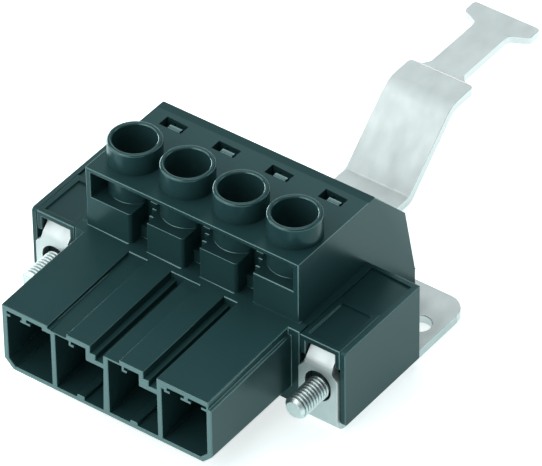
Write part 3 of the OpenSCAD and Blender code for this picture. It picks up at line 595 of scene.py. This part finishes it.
# Studio: a pale paper floor that fades into a white surround, soft boxes around the object, one of them
# behind a pale blue-green gel and a small one aimed at the arm, and a long lens at the picture's angle.
FLOOR_HALF = 1.5
FLOOR_DROP = 0.02 * MM
FLOOR_WHITE = "#F4F6F6"
FLOOR_GLOW = "#FBFFFF"
FLOOR_MIRRORED = "#DAF7F7"
FLOOR_STRENGTH = 0.7
floor_mesh = bpy.data.meshes.new("studio_floor")
floor_reach = FLOOR_HALF * np.array([(-1, -1), (1, -1), (1, 1), (-1, 1)])
floor_corners = np.column_stack([floor_reach, np.full(4, -FLOOR_DROP)])
floor_mesh.from_pydata(floor_corners.tolist(), [], [(0, 1, 2, 3)])
floor = bpy.data.objects.new("studio_floor", floor_mesh)
bpy.context.scene.collection.objects.link(floor)
# Matt paper has no shine. Its glow is for the lens and for mirrored rays alone and lights nothing.
paper = bpy.data.materials.new("floor paper white")
paper.use_nodes = True
tree = paper.node_tree
surface = tree.nodes["Principled BSDF"]
surface.inputs["Base Color"].default_value = linear(FLOOR_WHITE)
surface.inputs["Roughness"].default_value = 0.9
ray = add_node(tree, "ShaderNodeLightPath")
seen = add_node(tree, "ShaderNodeMath", settings={"operation": "MAXIMUM"},
                links={0: ray.outputs["Is Camera Ray"], 1: ray.outputs["Is Glossy Ray"]}).outputs[0]
seen = add_node(tree, "ShaderNodeMath", settings={"operation": "MAXIMUM"},
                links={0: seen, 1: ray.outputs["Is Transmission Ray"]}).outputs[0]
glow = add_node(tree, "ShaderNodeMath", settings={"operation": "MULTIPLY"}, values={1: FLOOR_STRENGTH},
                links={0: seen}).outputs[0]
tree.links.new(glow, surface.inputs["Emission Strength"])
tone = add_node(tree, "ShaderNodeMix", settings={"data_type": "RGBA"},
                values={MIX_FIRST: linear(FLOOR_MIRRORED), MIX_SECOND: linear(FLOOR_GLOW)},
                links={MIX_FACTOR: ray.outputs["Is Camera Ray"]}).outputs[MIX_RESULT]
tree.links.new(tone, surface.inputs["Emission Color"])
floor_mesh.materials.append(paper)

SURROUND_TINT = "#E2F3F4"
SURROUND_SEEN = "#FFFFFF"
SURROUND_STRENGTH = 0.24
world = bpy.data.worlds.new("studio surround")
bpy.context.scene.world = world
world.use_nodes = True
tree = world.node_tree
sky = tree.nodes["Background"]
ray = add_node(tree, "ShaderNodeLightPath")
tone = add_node(tree, "ShaderNodeMix", settings={"data_type": "RGBA"},
                values={MIX_FIRST: linear(SURROUND_TINT), MIX_SECOND: linear(SURROUND_SEEN)},
                links={MIX_FACTOR: ray.outputs["Is Camera Ray"]}).outputs[MIX_RESULT]
tree.links.new(tone, sky.inputs["Color"])
level = add_node(tree, "ShaderNodeMapRange", values={"To Min": SURROUND_STRENGTH, "To Max": 1.0},
                 links={"Value": ray.outputs["Is Camera Ray"]}).outputs[0]
tree.links.new(level, sky.inputs["Strength"])

LIGHT_TINT = "#F3FBFB"
GEL_TINT = "#BCE8EB"
MIDDLE = (0, 0, 0.015)
UPPER_MIDDLE = (0, 0, 0.02)
ARM_MIDDLE = (0, 0.055, 0.012)


def unit(vector):
    """The vector divided by its length."""
    return vector / np.linalg.norm(vector)


def standing(place, rightward, backward):
    """Matrix of a lamp or a camera at a place: X points right, Z points back, and Y is Z cross X."""
    matrix = np.eye(4)
    matrix[:3, :3] = np.stack([rightward, np.cross(backward, rightward), backward], axis=1)
    matrix[:3, 3] = place
    return Matrix(matrix.tolist())


def soft_box(name, place, target, size, power, tint=LIGHT_TINT):
    """Rectangular area lamp of a width and height in metres, turned so that it faces the target."""
    lamp = bpy.data.lights.new(name, "AREA")
    lamp.shape = "RECTANGLE"
    lamp.size, lamp.size_y = size
    lamp.energy = power
    lamp.color = linear(tint)[:3]
    holder = bpy.data.objects.new(name, lamp)
    bpy.context.scene.collection.objects.link(holder)
    backward = unit(np.array(place, float) - np.array(target, float))
    holder.matrix_world = standing(place, unit(np.cross((0, 0, 1), backward)), backward)


soft_box("back soft box", (-0.185, 0.255, 0.13), MIDDLE, (0.20, 0.18), power=0.13)
soft_box("arm soft box", (-0.1145, 0.208, 0.173), ARM_MIDDLE, (0.08, 0.08), power=0.028)
soft_box("overhead soft box", (-0.06, 0.10, 0.50), MIDDLE, (0.30, 0.30), power=0.60)
soft_box("key soft box", (-0.33, -0.30, 0.36), MIDDLE, (0.65, 0.65), power=2.15)
soft_box("front fill", (-0.05, -0.55, 0.30), MIDDLE, (0.40, 0.40), power=0.90)
soft_box("low left panel", (-0.43, 0.10, 0.075), UPPER_MIDDLE, (0.30, 0.10), power=1.00)
soft_box("right soft box", (0.42, 0.36, 0.30), MIDDLE, (0.30, 0.30), power=0.40, tint=GEL_TINT)

CAMERA_PLACE = (0.313467, -0.408807, 0.448064)
CAMERA_FORWARD = (-0.45826, 0.61329, -0.64332)
CAMERA_RIGHT = (0.80667, 0.59090, -0.01130)
PICTURE_WIDTH = 542
FOCAL_PIXELS = 5822.07
SENSOR = 36.0
NEAREST_SEEN = 0.01
lens = bpy.data.cameras.new("picture lens")
lens.sensor_width = SENSOR
lens.lens = FOCAL_PIXELS * SENSOR / PICTURE_WIDTH
lens.clip_start = NEAREST_SEEN
camera = bpy.data.objects.new("picture camera", lens)
bpy.context.scene.collection.objects.link(camera)
backward = unit(-np.array(CAMERA_FORWARD))
rightward = np.array(CAMERA_RIGHT)
rightward = unit(rightward - backward * (rightward @ backward))
camera.matrix_world = standing(CAMERA_PLACE, rightward, backward)
bpy.context.scene.camera = camera
bpy.context.scene.view_settings.view_transform = "Standard"
